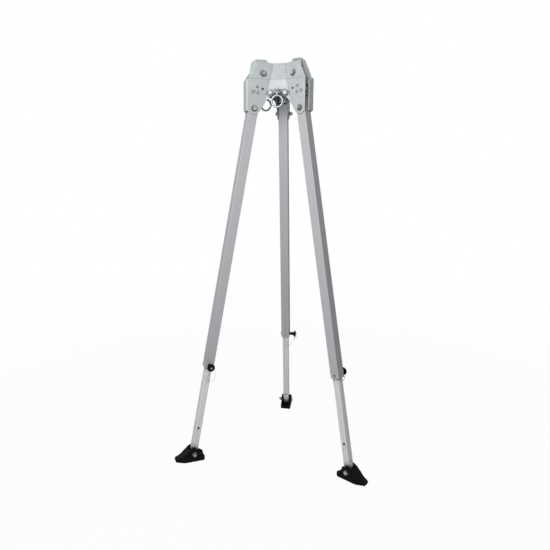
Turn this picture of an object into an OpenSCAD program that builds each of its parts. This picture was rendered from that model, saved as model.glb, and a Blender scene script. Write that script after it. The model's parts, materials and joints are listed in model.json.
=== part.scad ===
// Rescue tripod: a pressed steel head on three splayed telescopic legs with swivelling rubber feet.
// Millimetres, +Z up. The origin is the point on the ground below the centre of the head.

/* [Legs] */

// Outside width of the square outer leg tube
tube_w = 50; // [46:1:54]
// Wall of the outer leg tube
tube_wall = 4; // [3.5:0.5:4.5]
// Outside width of the square inner leg tube
inner_w = 36; // [32:1:37]
// Wall of the inner leg tube
inner_wall = 3; // [2:0.5:4]
// Angle of each leg from the vertical when it stands on its stop
splay = 10.3; // [9:0.1:11.5]
// Length of the outer tube above the leg's pivot bolt
tube_top = 55; // [53:1:56]
// Length of the outer tube below the leg's pivot bolt
tube_drop = 1370; // [1250:5:1400]
// Distance from the pivot bolt to the foot bolt, as the leg stands
leg_len = 1852; // [1790:2:1880]
// Length of the inner tube above the foot bolt
inner_len = 917; // [900:1:960]
// Distance of the highest lock hole below the inner tube's top end
top_hole_down = 65; // [60:1:90]
// Distance of the lowest lock hole above the foot bolt
low_hole_up = 142; // [120:1:160]
// Distance from the foot bolt up to the hole for a leg tie
tie_hole_up = 49; // [46:1:60]
// Radius of the hole for a leg tie
tie_hole_r = 5; // [3:0.5:6]

/* [Lock pins] */

// Radius of the lock pin
pin_r = 6; // [5:0.5:6.5]
// Travel of the lock pin
pin_travel = 8.5; // [7:0.5:9]
// Distance of the lock pin above the lower end of the outer tube
pin_up = 15; // [13:1:20]
// Radius of the lock pin's knob
knob_r = 20.5; // [18:0.5:22]
// Thickness of the knob's disc
knob_t = 9.5; // [8:0.5:12]
// Diameter of the wire lanyard
cord_d = 2; // [1.5:0.1:2.5]

/* [Feet] */

// Height of the foot bolt above the ground
foot_h = 45; // [43:1:50]
// Width of the rubber shoe
foot_w = 62; // [58:1:70]
// Width of the shoe's toe
toe_w = 26; // [18:1:34]
// Radius of the foot bolt
foot_bolt_r = 6; // [5:0.5:6.5]

/* [Head] */

// Radius from the head's axis to the legs' pivot bolts
pivot_r = 150; // [147:1:153]
// Thickness of the head plates
plate_t = 4; // [3:0.5:5]
// Gap between a leg tube and each head plate
side_gap = 2; // [1.5:0.25:3]
// Radius of the round lobe around each pivot bolt
lobe_r = 30; // [28:0.5:31]
// Height of the crease above the pivot bolts
crease = 146; // [140:1:152]
// Height of the plates' top edge above the pivot bolts
head_top = 229; // [223:1:235]
// Lean of the flanks above the crease
flank_lean = 12; // [10:0.5:13]
// Lean of the middle facet above the crease
facet_lean = 18; // [14:0.5:20]
// Lean of the middle facet below the crease
skirt_lean = 6.8; // [5:0.2:8]
// Distance of the middle facet from the head's axis, at the crease
facet_d = 60; // [58:0.5:62]
// Radius of the arch under each plate
arch_r = 74; // [70:0.5:75]
// Height of the arch's crown above the pivot bolts
arch_top = 70; // [68:0.5:71]
// Angle of the lip that stiffens each plate's left end to its flank
lip_bend = 19; // [14:1:24]
// Radius of the pivot bolts and the head bolts
bolt_r = 6; // [5:0.5:6.5]
// Radius of the accessory pin holes through both plates at each leg
pin_hole_r = 6; // [4:0.5:6.5]

/* [Anchor eyes] */

// Radius from the head's axis to each anchor eye
eye_r = 92; // [91:0.5:96]
// Inside radius of an eye's ring
ring_in = 22.5; // [20:0.5:23]
// Diameter of the ring's round bar
ring_bar = 10; // [8:0.5:11]
// Radius of the eye's shank
shank_r = 8; // [6:0.5:8]
// Turn of the front eye about its shank
turn_front = 0; // [-90:5:90]
// Turn of the right eye about its shank
turn_right = -30; // [-90:5:90]
// Turn of the left eye about its shank
turn_left = -75; // [-90:5:90]

/* [Hidden] */

$fn = 48;
big = 500;
fit = 0.05;
free = 0.3;

leg_left = 210;
leg_right = 330;
leg_rear = 90;
plate_front = 270;
plate_right = 30;
plate_left = 150;

// Where things lie along a leg, measured up from the pivot bolt
pin_z = pin_up - tube_drop;
anchor_screw_z = pin_z + 15;
pivot_z = leg_len * cos(splay) + foot_h;
foot_r = pivot_r + leg_len * sin(splay);

// Half widths across a leg
tube_h = tube_w / 2;
bore_h = tube_h - tube_wall;
inner_h = inner_w / 2;
flank_in = tube_h + side_gap;
flank_out = flank_in + plate_t;

// Lock pin, measured outwards from the leg's middle
nose_y = inner_h + 0.5;
collar_flange = 3;
hub_y = tube_h + collar_flange + free + pin_travel;
disc_y = hub_y + 17;
collar_end = tube_h + 18;
knob_bore = collar_end + pin_travel + 0.6;
shoulder_y = knob_bore + 3;
knob_end = disc_y + knob_t;
pin_end = knob_end + 5.5;
tail_r = pin_r - 1.5;
nose_cut = 1.5;
back_cut = 1.5;
face_cut = 3;
collar_r = pin_r + 2;
hub_r = collar_r + 2.4;

// Split ring through the knob's disc, which the lanyard hangs from
link_r = 9;
link_bar = 1.6;
link_x = 5;
link_y = disc_y + knob_t / 2;
link_hole_r = 2.3;
link_rim = 2.4;
link_hole_z = -sqrt(pow(knob_r - link_rim - link_hole_r, 2) - pow(link_x, 2));
link_z = link_hole_z + 0.7 - link_r;

// Inner tube and its bearings
slide_gap = 0.4;
tube_corner = 3;
screw_end = -inner_h - slide_gap - 0.4;
guide_len = 42;
slider_len = 34;
slider_cap = 4;
inner_past = 16;

// Fasteners at the head
rivet_r = 4;
head_bolt = [pivot_r - 49, crease + 27.5];
pin_hole = [pivot_r - 45, crease - 48];
stop_in = 32;
stop_out = 19;
stop_top = 118;
stop_reach = 24;
rivets = [[pivot_r - 17, stop_top - 11], [pivot_r + 5, stop_top - 35.5], [pivot_r - 20.5, stop_top - 39.5]];
hex_r = 11;
washer_r = 12.5;
washer_t = 2;
head_bolt_head = 8;
head_nut_t = 10;
pivot_head = 9.5;
pivot_nut_t = 11.5;
pivot_tail = 5.5;
bracket_hex_r = 9.8;
bracket_head = 6.4;
bracket_nut_t = 8;
short_tail = 2;

// Fasteners at the legs and feet
screw_r = 3;
screw_head_r = 5.5;
screw_head = 5;
screw_nut_r = 6;
screw_nut_t = 6;
screw_tail = 2.5;
foot_hex_r = 10.5;
foot_head = 8;
foot_nut_t = 10;
foot_tail = 5;

// The upper half of a plate lies a hair behind the lower one at the crease
crease_step = 0.15;
crown_in = flank_in - crease_step;
crown_out = flank_out - crease_step;
// Flank's outer face above the crease
function crown_at(z) = crown_out - (z - crease) * tan(flank_lean);
// Middle facet's outer face below the crease
function facet_at(z) = facet_d + (crease - z) * tan(skirt_lean);

// Arch under each plate: a round crown whose straight sides run down to the lobes
arch_turn = 30;
arch_mid = arch_top - arch_r;
blend_in = 0.4;
arch_side = [0, arch_mid] + (arch_r - blend_in) * [cos(arch_turn), sin(arch_turn)];
touch_turn = 213.7;
low_turn = -50;
lobe_touch = [pivot_r, 0] + (lobe_r - blend_in) * [cos(touch_turn), sin(touch_turn)];
lobe_low = [pivot_r, 0] + (lobe_r - blend_in) * [cos(low_turn), sin(low_turn)];
lobe_drop = 13;
arch_foot = arch_side[0] + (arch_side[1] - lobe_touch[1]) * tan(arch_turn);
arch_foot_r = (arch_foot - 1 + flank_in / 2) / cos(30);

// Edges of a plate: plain on its right end, with a flange and a lip on its left end, and raised above both
plain_r = pivot_r + lobe_r + 1;
flange_gap = 13.6;
flange_r = pivot_r + tube_h / cos(splay) + flange_gap + plate_t;
bend_r = plate_t + 6;
bend_from = flange_r - bend_r;
flange_past = 12;
flange_top = crease - 6;
flange_slope = 8;
lip_from = pivot_r + 26;
lip_to = pivot_r - 26;
rim_to = pivot_r - 84;
rim_rise = 9;
lip_v = (head_top - rim_rise - crease) / cos(flank_lean);
lip_turn = atan2(lip_from - lip_to, lip_v);
rim_turn = atan2(lip_to - rim_to, rim_rise / cos(flank_lean));
lip_outline = [
  [lip_from, crease + 4], [pivot_r + 18.5, crease + 40], [pivot_r + 4.5, head_top + 1],
  [pivot_r - 22, head_top + 16], [pivot_r - 68, head_top + 17], [pivot_r - 85.5, head_top]
];
plain_outline = [
  [plain_r, crease], [pivot_r - 2, head_top - 32], [pivot_r - 10.5, head_top - 1],
  [pivot_r - 15, head_top + 7.5], [pivot_r - 48, head_top + 9], [pivot_r - 66, head_top]
];
lip_start = -15;

// Anchor eye and its bracket, measured up from the pivot bolts
lug_z = arch_top + 2;
lug_t = 8;
lug_r = 19;
bracket_t = 6;
bracket_bolt_y = 37;
bracket_bolt_z = arch_top + 6;
bracket_bolt_r = 5;
ear_r = 14;
eye_collar_t = 6;
eye_collar_r = shank_r + 4;
ring_r = ring_in + ring_bar / 2;
ring_z = lug_z - free - eye_collar_t - ring_r - ring_bar / 2 + 1;
eye_nut_t = 14;
eye_nut_r = shank_r + 5.8;
eye_tail = 4;

// Lanyards' routes from the split ring to the screw on the leg's inner face: outwards from the leg's middle,
// towards the knob's side, and up from the pin. The lanyards are of about the same length, and each hangs its
// own way.
link_low = [link_x, link_y - 0.5, link_z - link_r - link_bar / 2 - 1];
left_route = [
  link_low, [8, 55, -46], [6, 48, -59], [0, 40, -72], [-9, 32, -83], [-22, 23, -91], [-36, 13, -92],
  [-45, 6, -84], [-47, 3, -67], [-44, 1, -48], [-38, 0, -29], [-31, 0, -10], [-tube_h - 2.5, 0, 8.6]
];
right_route = [
  link_low, [0, 55.5, -43], [-5, 50.5, -53], [-10, 44.5, -66], [-14.5, 38, -80], [-19.5, 30.5, -93],
  [-25, 22, -100], [-30.5, 14.5, -97], [-33, 10, -84], [-33.5, 7, -64], [-32.5, 4, -40], [-30.5, 2, -15],
  [-tube_h - 2.5, 0, 8.6]
];
rear_route = [
  link_low, [9, 54, -43], [6, 46, -53], [-5, 36, -63], [-19, 27, -71], [-35, 20, -74], [-50, 15, -69],
  [-60, 13, -55], [-62, 13, -38], [-57, 13, -20], [-46, 9, -5], [-35, 1, 4], [-tube_h - 2.5, -5.3, 10.4]
];
cord_rings = 30;
cord_sides = 8;

// Frames

// Along a leg: X outwards, Y across, Z up the leg from its pivot bolt
module on_leg(turn) {
  rotate([0, 0, turn]) translate([pivot_r, 0, pivot_z]) rotate([0, -splay, 0]) children();
}

// As on_leg, with the lock pin's knob on the +Y side
module on_pin(turn, side) {
  on_leg(turn) mirror([0, side < 0 ? 1 : 0, 0]) translate([0, 0, pin_z]) children();
}

// At the head, facing a leg or a plate: X outwards, Z up from the pivot bolts
module on_head(turn) {
  rotate([0, 0, turn]) translate([0, 0, pivot_z]) children();
}

// At a foot: X outwards, Z up from the foot bolt
module on_foot(turn) {
  rotate([0, 0, turn]) translate([foot_r, 0, foot_h]) children();
}

// Plain shapes

module along_y(r, from, to) {
  translate([0, from, 0]) rotate([-90, 0, 0]) cylinder(r = r, h = to - from);
}

module along_x(r, from, to) {
  translate([from, 0, 0]) rotate([0, 90, 0]) cylinder(r = r, h = to - from);
}

// An outline in X and Z, made solid along Y
module across(from, to) {
  translate([0, to, 0]) rotate([90, 0, 0]) linear_extrude(to - from) children();
}

module round_square(w, r) {
  square([w - 2 * r, w], center = true);
  square([w, w - 2 * r], center = true);
  for (x = [-1, 1], y = [-1, 1]) translate([x, y] * (w / 2 - r)) circle(r = r);
}

module square_tube(w, wall, r, from, to) {
  translate([0, 0, from]) linear_extrude(to - from) difference() {
    round_square(w, r);
    round_square(w - 2 * wall, max(r - wall, 0.8));
  }
}

// A hexagon bolt along +Y: washer and head below from, shank up to to
module hex_bolt(r, from, to, head_t, head_r) {
  along_y(r, from - 1, to);
  along_y(washer_r * r / 6, from - washer_t, from);
  translate([0, from - washer_t - head_t, 0]) rotate([-90, 0, 0]) cylinder(r = head_r, h = head_t, $fn = 6);
}

// Its nut with a washer, from from outwards along +Y
module hex_nut(r, from, nut_t, nut_r) {
  difference() {
    union() {
      along_y(washer_r * r / 6, from, from + washer_t);
      translate([0, from + washer_t, 0]) rotate([-90, 0, 0]) cylinder(r = nut_r, h = nut_t, $fn = 6);
    }
    along_y(r + fit, from - 1, from + washer_t + nut_t + 1);
  }
}

// A tube of round section swept along points
function spline(p, i, t) =
  let (a = p[max(i - 1, 0)], b = p[i], c = p[i + 1], d = p[min(i + 2, len(p) - 1)])
  0.5 * (2 * b + (c - a) * t + (2 * a - 5 * b + 4 * c - d) * t * t + (3 * b - a - 3 * c + d) * t * t * t);
function along(p, n) = [
  for (k = [0 : n - 1]) let (u = k * (len(p) - 1) / (n - 1), i = min(floor(u), len(p) - 2))
  spline(p, i, u - i)
];
function unit(v) = v / norm(v);
function heading(p, k) = unit(p[min(k + 1, len(p) - 1)] - p[max(k - 1, 0)]);
function carried(p, v, k) =
  k >= len(p) ? [] : let (h = heading(p, k), w = unit(v - (v * h) * h)) concat([w], carried(p, w, k + 1));

module swept(p, d, sides) {
  side = carried(p, [1, 0.2, 0.1], 0);
  n = len(p);
  points = [
    for (k = [0 : n - 1]) let (h = heading(p, k), s = side[k], t = cross(h, s))
    for (j = [0 : sides - 1]) p[k] + d / 2 * (cos(360 * j / sides) * s + sin(360 * j / sides) * t)
  ];
  faces = concat(
    [[for (j = [0 : sides - 1]) j]],
    [for (k = [0 : n - 2], j = [0 : sides - 1])
      [k * sides + j, (k + 1) * sides + j, (k + 1) * sides + (j + 1) % sides, k * sides + (j + 1) % sides]],
    [[for (j = [sides - 1 : -1 : 0]) (n - 1) * sides + j]]
  );
  polyhedron(points, faces);
}

// Head plates

// Everything in front of the right-hand flank's face
module before_flank(off, lean) {
  rotate([0, 0, 60]) translate([0, -off, crease]) rotate([-lean, 0, 0])
    translate([-big, -big, -big]) cube([2 * big, big, 2 * big]);
}

// Everything in front of a lip bent back from the left-hand flank, along an edge turned by turn
module before_lip(off, edge, turn) {
  rotate([0, 0, -60]) translate([0, flank_out, crease]) rotate([flank_lean, 0, 0]) translate(edge)
    rotate([0, -turn, 0]) rotate([0, 0, -lip_bend])
    translate([-big, (off - flank_out) * cos(flank_lean), -big]) cube([2 * big, big, 2 * big]);
}

// Everything in front of a middle facet that leans by lean
module before_facet(middle, lean) {
  translate([middle, 0, crease]) rotate([0, -lean, 0])
    translate([0, -big, -big]) cube([big, 2 * big, 2 * big]);
}

// Everything in front of a plate's faces below the crease
module before_skirt(off, middle) {
  intersection() {
    before_facet(middle, skirt_lean);
    before_flank(off, 0);
    mirror([0, 1, 0]) before_flank(off, 0);
  }
}

// Everything in front of its faces and its lip above the crease
module before_crown(off, middle) {
  intersection() {
    before_facet(middle, facet_lean);
    before_flank(off, flank_lean);
    union() {
      mirror([0, 1, 0]) before_flank(off, flank_lean);
      before_lip(off, [lip_from, 0, 0], lip_turn);
      before_lip(off, [lip_to, 0, lip_v], rim_turn);
    }
  }
}

// Outline of a flank below the crease, in radius and height
module skirt_outline(edge) {
  polygon([[-big, -big], [arch_foot_r, -big], [arch_foot_r, lobe_touch[1]], lobe_touch, [pivot_r, 0],
    lobe_low, [edge, -lobe_drop], [edge, crease], [-big, crease]]);
  intersection() {
    translate([pivot_r, 0]) circle(r = lobe_r);
    translate([pivot_r - lobe_r - 1, -lobe_r - 1]) square([2 * lobe_r + 2, lobe_r + 1]);
  }
}

module plate_skirt() {
  intersection() {
    difference() {
      before_skirt(flank_in, facet_d - plate_t);
      before_skirt(flank_out, facet_d);
    }
    rotate([0, 0, 60]) across(-big, big) skirt_outline(plain_r);
    rotate([0, 0, -60]) across(-big, big) skirt_outline(bend_from);
  }
}

module plate_crown() {
  intersection() {
    difference() {
      before_crown(crown_in, facet_d - plate_t - crease_step);
      before_crown(crown_out, facet_d - crease_step);
    }
    rotate([0, 0, 60]) across(-big, big)
      polygon(concat([[-big, crease]], plain_outline, [[lip_start, head_top], [lip_start, 2 * head_top],
        [-big, 2 * head_top]]));
    rotate([0, 0, -60]) across(-big, big)
      polygon(concat([[-big, crease], [lip_from, crease]], lip_outline, [[-big, head_top]]));
  }
}

// Flange bent round in front of the leg
module plate_flange() {
  rotate([0, 0, -60]) {
    translate([flange_r - plate_t, 0, 0]) rotate([90, 0, 90]) linear_extrude(plate_t)
      polygon([[flank_out - bend_r, -lobe_drop], [flank_out - bend_r, flange_top],
        [-flange_past, flange_top - flange_slope], [-flange_past, -lobe_drop]]);
    translate([bend_from, flank_out - bend_r, -lobe_drop]) intersection() {
      difference() {
        cylinder(r = bend_r, h = flange_top + lobe_drop);
        translate([0, 0, -1]) cylinder(r = bend_r - plate_t, h = flange_top + lobe_drop + 2);
      }
      cube([bend_r + 1, bend_r + 1, flange_top + lobe_drop]);
    }
  }
}

module plate_holes() {
  for (side = [0, 1]) mirror([0, side, 0]) rotate([0, 0, 60]) {
    translate([pivot_r, 0, 0]) along_y(bolt_r, -big, 0);
    translate([head_bolt[0], 0, head_bolt[1]]) along_y(bolt_r, -big, 0);
    translate([pin_hole[0], 0, pin_hole[1]]) along_y(pin_hole_r, -big, 0);
    for (p = rivets) translate([p[0], 0, p[1]]) along_y(rivet_r, -big, 0);
  }
  for (y = [-1, 1]) bracket_place(y * bracket_bolt_y) along_x(bracket_bolt_r, -20, 20);
  translate([0, 0, arch_mid]) along_x(arch_r, 0, big);
  rotate([90, 0, 90]) linear_extrude(big) polygon([
    arch_side, [arch_foot, lobe_touch[1]], [arch_foot, -big],
    [-arch_foot, -big], [-arch_foot, lobe_touch[1]], [-arch_side[0], arch_side[1]]
  ]);
}

module head_plate() {
  difference() {
    union() {
      plate_skirt();
      plate_crown();
      plate_flange();
    }
    plate_holes();
  }
}

module head_plate_front() { color("#ccd1d2") on_head(plate_front) head_plate(); }
module head_plate_right() { color("#ccd1d2") on_head(plate_right) head_plate(); }
module head_plate_left() { color("#ccd1d2") on_head(plate_left) head_plate(); }

// Head fasteners

module each_leg() {
  for (turn = [leg_left, leg_right, leg_rear]) on_head(turn) children();
}

// The space between two plates' leaning inner faces, or outside one of them
module between_flanks(off) {
  difference() {
    translate([-big, -big, -big]) cube(2 * big);
    for (side = [0, 1]) mirror([0, side, 0]) rotate([0, 0, -60]) before_flank(off, flank_lean);
  }
}

seat_y = crown_at(head_bolt[1]) + washer_r * tan(flank_lean) + 0.8;

module head_bolts() {
  color("#c9cdd0") each_leg() translate([head_bolt[0], 0, head_bolt[1]]) {
    along_y(bolt_r, -seat_y - 1, seat_y + head_nut_t + short_tail);
    translate([0, -seat_y - head_bolt_head, 0]) rotate([-90, 0, 0])
      cylinder(r = hex_r, h = head_bolt_head, $fn = 6);
  }
}

module head_nuts() {
  color("#c9cdd0") each_leg() translate([head_bolt[0], 0, head_bolt[1]]) difference() {
    translate([0, seat_y, 0]) rotate([-90, 0, 0]) cylinder(r = hex_r, h = head_nut_t, $fn = 6);
    along_y(bolt_r + fit, 0, big);
  }
}

// Tapered washers that bring the leaning flanks square to the bolts
module head_washers() {
  color("#b9bdc0") each_leg() difference() {
    translate([head_bolt[0], 0, head_bolt[1]]) along_y(washer_r, -seat_y, seat_y);
    between_flanks(crown_out);
    translate([head_bolt[0], 0, head_bolt[1]]) along_y(bolt_r + fit, -big, big);
  }
}

module head_spacers() {
  color("#a9adb0") each_leg() difference() {
    intersection() {
      translate([head_bolt[0], 0, head_bolt[1]]) along_y(washer_r - 2, -flank_out, flank_out);
      between_flanks(crown_in);
    }
    translate([head_bolt[0], 0, head_bolt[1]]) along_y(bolt_r + fit, -big, big);
  }
}

module pivot_bolts() {
  color("#c9cdd0") each_leg() translate([pivot_r, 0, 0]) mirror([0, 1, 0])
    hex_bolt(bolt_r, -flank_out, flank_out + washer_t + pivot_nut_t + pivot_tail, pivot_head, hex_r);
}

module pivot_nuts() {
  color("#c9cdd0") each_leg() translate([pivot_r, 0, 0]) mirror([0, 1, 0])
    hex_nut(bolt_r, flank_out, pivot_nut_t, hex_r);
}

// Block that a leg's top end meets when it stands splayed, and again when it is folded
stop_r = tube_top + free;
stop_peak = [pivot_r - stop_r * tan(splay / 2), stop_r];

module leg_stops() {
  color("#8f9496") each_leg() difference() {
    across(-flank_in, flank_in) polygon([[pivot_r - stop_in, stop_r], stop_peak,
      stop_peak + stop_reach * [cos(splay), sin(splay)], [pivot_r + stop_out, stop_top - 30],
      [pivot_r - 3, stop_top], [pivot_r - stop_in + 4, stop_top], [pivot_r - stop_in, stop_top - 14]]);
    for (p = rivets) translate([p[0], 0, p[1]]) along_y(rivet_r, -big, big);
  }
}

module stop_rivets() {
  color("#b4b9bb") each_leg() for (p = rivets) translate([p[0], 0, p[1]]) {
    along_y(rivet_r, -flank_out - 1, flank_out + 1);
    for (side = [0, 1]) mirror([0, side, 0]) {
      along_y(rivet_r + 2, flank_out, flank_out + 1.6);
      along_y(rivet_r + 0.6, flank_out + 1, flank_out + 2.8);
    }
  }
}

// Anchor eyes

module bracket_place(y) {
  translate([facet_at(bracket_bolt_z), y, bracket_bolt_z]) rotate([0, -skirt_lean, 0]) children();
}

module anchor_bracket() {
  difference() {
    union() {
      // Back plate with rounded ears, against the middle facet
      bracket_place(0) {
        translate([0, -bracket_bolt_y, -ear_r / 2]) cube([bracket_t, 2 * bracket_bolt_y, 1.5 * ear_r]);
        for (y = [-1, 1]) translate([0, y * bracket_bolt_y, 0]) along_x(ear_r, 0, bracket_t);
      }
      // Lug that carries the eye
      intersection() {
        translate([0, 0, lug_z]) {
          translate([eye_r, 0, 0]) cylinder(r = lug_r, h = lug_t);
          translate([facet_at(bracket_bolt_z) - 5, -lug_r, 0])
            cube([eye_r - facet_at(bracket_bolt_z) + 5, 2 * lug_r, lug_t]);
        }
        bracket_place(0) translate([0, -big, -big]) cube(2 * big);
      }
    }
    translate([eye_r, 0, lug_z - 1]) cylinder(r = shank_r + fit, h = lug_t + 2);
    for (y = [-1, 1]) bracket_place(y * bracket_bolt_y) along_x(bracket_bolt_r, -1, bracket_t + 1);
  }
}

module anchor_bracket_front() { color("#c3c8ca") on_head(plate_front) anchor_bracket(); }
module anchor_bracket_right() { color("#c3c8ca") on_head(plate_right) anchor_bracket(); }
module anchor_bracket_left() { color("#c3c8ca") on_head(plate_left) anchor_bracket(); }

module bracket_bolts() {
  color("#c9cdd0") for (turn = [plate_front, plate_right, plate_left], y = [-1, 1])
    on_head(turn) bracket_place(y * bracket_bolt_y) rotate([0, 0, 90]) {
      hex_bolt(bracket_bolt_r, -bracket_t, plate_t + washer_t + bracket_nut_t + short_tail, bracket_head,
        bracket_hex_r);
      hex_nut(bracket_bolt_r, plate_t, bracket_nut_t, bracket_hex_r);
    }
}

// Ring, collar and shank of one eye, turned about its shank
module anchor_eye(turn) {
  translate([eye_r, 0, 0]) rotate([0, 0, turn]) {
    translate([0, 0, ring_z]) rotate([0, 90, 0]) rotate_extrude() translate([ring_r, 0]) circle(d = ring_bar);
    translate([0, 0, lug_z - free - eye_collar_t]) cylinder(r = eye_collar_r, h = eye_collar_t);
    translate([0, 0, ring_z + ring_r])
      cylinder(r = shank_r, h = lug_z + lug_t + eye_nut_t + eye_tail - ring_z - ring_r);
  }
}

module anchor_eye_front() { color("#d5d9dc") on_head(plate_front) anchor_eye(turn_front); }
module anchor_eye_right() { color("#d5d9dc") on_head(plate_right) anchor_eye(turn_right); }
module anchor_eye_left() { color("#d5d9dc") on_head(plate_left) anchor_eye(turn_left); }

module eye_nut() {
  translate([eye_r, 0, lug_z + lug_t + free]) difference() {
    cylinder(r = eye_nut_r, h = eye_nut_t, $fn = 6);
    translate([0, 0, -1]) cylinder(r = shank_r + fit, h = eye_nut_t + 2);
  }
}

module eye_nut_front() { color("#d5d9dc") on_head(plate_front) eye_nut(); }
module eye_nut_right() { color("#d5d9dc") on_head(plate_right) eye_nut(); }
module eye_nut_left() { color("#d5d9dc") on_head(plate_left) eye_nut(); }

// Legs

module outer_tube(turn, side) {
  difference() {
    on_leg(turn) square_tube(tube_w, tube_wall, tube_corner, -tube_drop, tube_top);
    on_leg(turn) along_y(bolt_r + 4, -tube_w, tube_w);
    on_pin(turn, side) {
      along_y(collar_r, 0, tube_w);
      along_y(screw_r, -tube_w, 0);
    }
    on_leg(turn) translate([0, 0, anchor_screw_z]) along_x(screw_r, -tube_w, 0);
  }
}

module outer_tube_left() { color("#a0a1a4") outer_tube(leg_left, 1); }
module outer_tube_right() { color("#a0a1a4") outer_tube(leg_right, 1); }
module outer_tube_rear() { color("#a0a1a4") outer_tube(leg_rear, -1); }

module pivot_bush(turn) {
  on_leg(turn) difference() {
    along_y(bolt_r + 4, -flank_in + free, flank_in - free);
    along_y(bolt_r + fit, -tube_w, tube_w);
  }
}

module pivot_bush_left() { color("#b9bdc0") pivot_bush(leg_left); }
module pivot_bush_right() { color("#b9bdc0") pivot_bush(leg_right); }
module pivot_bush_rear() { color("#b9bdc0") pivot_bush(leg_rear); }

// Plastic bearing inside the lower end of the outer tube
module leg_guide(turn, side) {
  difference() {
    on_leg(turn)
      square_tube(2 * bore_h, bore_h - inner_h - slide_gap, 0.8, -tube_drop, guide_len - tube_drop);
    on_pin(turn, side) {
      along_y(pin_r + slide_gap, 0, tube_w);
      along_y(screw_r, -tube_w, 0);
    }
    on_leg(turn) translate([0, 0, anchor_screw_z]) along_x(screw_r, -tube_w, 0);
  }
}

module leg_guide_left() { color("#2b2c2e") leg_guide(leg_left, 1); }
module leg_guide_right() { color("#2b2c2e") leg_guide(leg_right, 1); }
module leg_guide_rear() { color("#2b2c2e") leg_guide(leg_rear, -1); }

// Collar in the tube's wall that the lock pin slides in
module pin_collar(turn, side) {
  on_pin(turn, side) difference() {
    union() {
      along_y(collar_r, bore_h, collar_end);
      along_y(collar_r + 3, tube_h, tube_h + collar_flange);
    }
    along_y(pin_r + fit, 0, big);
  }
}

module pin_collar_left() { color("#3a3b3d") pin_collar(leg_left, 1); }
module pin_collar_right() { color("#3a3b3d") pin_collar(leg_right, 1); }
module pin_collar_rear() { color("#3a3b3d") pin_collar(leg_rear, -1); }

// Screw opposite the lock pin, and the screw that holds the lanyard
module leg_screws(turn, side) {
  on_pin(turn, side) {
    along_y(screw_r, -tube_h - screw_nut_t - screw_tail, screw_end);
    translate([0, -tube_h - screw_nut_t, 0]) rotate([-90, 0, 0])
      cylinder(r = screw_nut_r, h = screw_nut_t, $fn = 6);
  }
  on_leg(turn) translate([0, 0, anchor_screw_z]) {
    along_x(screw_r, -tube_h - 1, screw_end);
    along_x(screw_head_r, -tube_h - screw_head, -tube_h);
  }
}

module leg_screws_left() { color("#d5d9dc") leg_screws(leg_left, 1); }
module leg_screws_right() { color("#d5d9dc") leg_screws(leg_right, 1); }
module leg_screws_rear() { color("#d5d9dc") leg_screws(leg_rear, -1); }

module lock_pin(turn, side) {
  on_pin(turn, side) {
    along_y(pin_r, nose_y + nose_cut, shoulder_y);
    along_y(tail_r, shoulder_y - 1, pin_end);
    translate([0, nose_y, 0]) rotate([-90, 0, 0]) cylinder(r1 = pin_r - nose_cut, r2 = pin_r, h = nose_cut);
  }
}

module lock_pin_left() { color("#d5d9dc") lock_pin(leg_left, 1); }
module lock_pin_right() { color("#d5d9dc") lock_pin(leg_right, 1); }
module lock_pin_rear() { color("#d5d9dc") lock_pin(leg_rear, -1); }

module lock_knob(turn, side) {
  on_pin(turn, side) difference() {
    union() {
      along_y(hub_r, hub_y, disc_y + knob_t / 2);
      along_y(knob_r, disc_y + back_cut, knob_end - face_cut);
      translate([0, disc_y, 0]) rotate([-90, 0, 0])
        cylinder(r1 = knob_r - back_cut, r2 = knob_r, h = back_cut);
      translate([0, knob_end - face_cut, 0]) rotate([-90, 0, 0])
        cylinder(r1 = knob_r, r2 = knob_r - face_cut - 1, h = face_cut);
    }
    along_y(collar_r + slide_gap, 0, knob_bore);
    along_y(pin_r, 0, shoulder_y);
    along_y(tail_r, 0, pin_end);
    translate([link_x, 0, link_hole_z]) along_y(link_hole_r, 0, pin_end);
  }
}

module lock_knob_left() { color("#17181a") lock_knob(leg_left, 1); }
module lock_knob_right() { color("#17181a") lock_knob(leg_right, 1); }
module lock_knob_rear() { color("#17181a") lock_knob(leg_rear, -1); }

module lanyard_ring(turn, side) {
  on_pin(turn, side) translate([link_x, link_y, link_z]) rotate([0, 90, 0])
    rotate_extrude() translate([link_r, 0]) circle(d = link_bar);
}

module lanyard_ring_left() { color("#d5d9dc") lanyard_ring(leg_left, 1); }
module lanyard_ring_right() { color("#d5d9dc") lanyard_ring(leg_right, 1); }
module lanyard_ring_rear() { color("#d5d9dc") lanyard_ring(leg_rear, -1); }

module lanyard(turn, side, points) {
  on_pin(turn, side) swept(along(points, cord_rings), cord_d, cord_sides);
}

module lanyard_left() { color("#b8babb") lanyard(leg_left, 1, left_route); }
module lanyard_right() { color("#b8babb") lanyard(leg_right, 1, right_route); }
module lanyard_rear() { color("#b8babb") lanyard(leg_rear, -1, rear_route); }

module inner_tube(turn) {
  on_leg(turn) difference() {
    square_tube(inner_w, inner_wall, tube_corner, -leg_len - inner_past, inner_len - leg_len);
    for (z = [inner_len - leg_len - top_hole_down, pin_z, low_hole_up - leg_len])
      translate([0, 0, z]) along_y(pin_r + free, -tube_w, tube_w);
    translate([0, 0, tie_hole_up - leg_len]) along_x(tie_hole_r, -tube_w, tube_w);
    translate([0, 0, -leg_len]) along_y(foot_bolt_r + fit, -tube_w, tube_w);
  }
}

module inner_tube_left() { color("#bdbbb9") inner_tube(leg_left); }
module inner_tube_right() { color("#bdbbb9") inner_tube(leg_right); }
module inner_tube_rear() { color("#bdbbb9") inner_tube(leg_rear); }

// Plastic cap that centres the inner tube's top end in the outer tube
module leg_slider(turn) {
  on_leg(turn) translate([0, 0, inner_len - leg_len]) difference() {
    translate([0, 0, slider_cap - slider_len]) linear_extrude(slider_len)
      round_square(2 * (bore_h - slide_gap), 1);
    translate([0, 0, -slider_len]) linear_extrude(slider_len) round_square(inner_w, tube_corner);
  }
}

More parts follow.
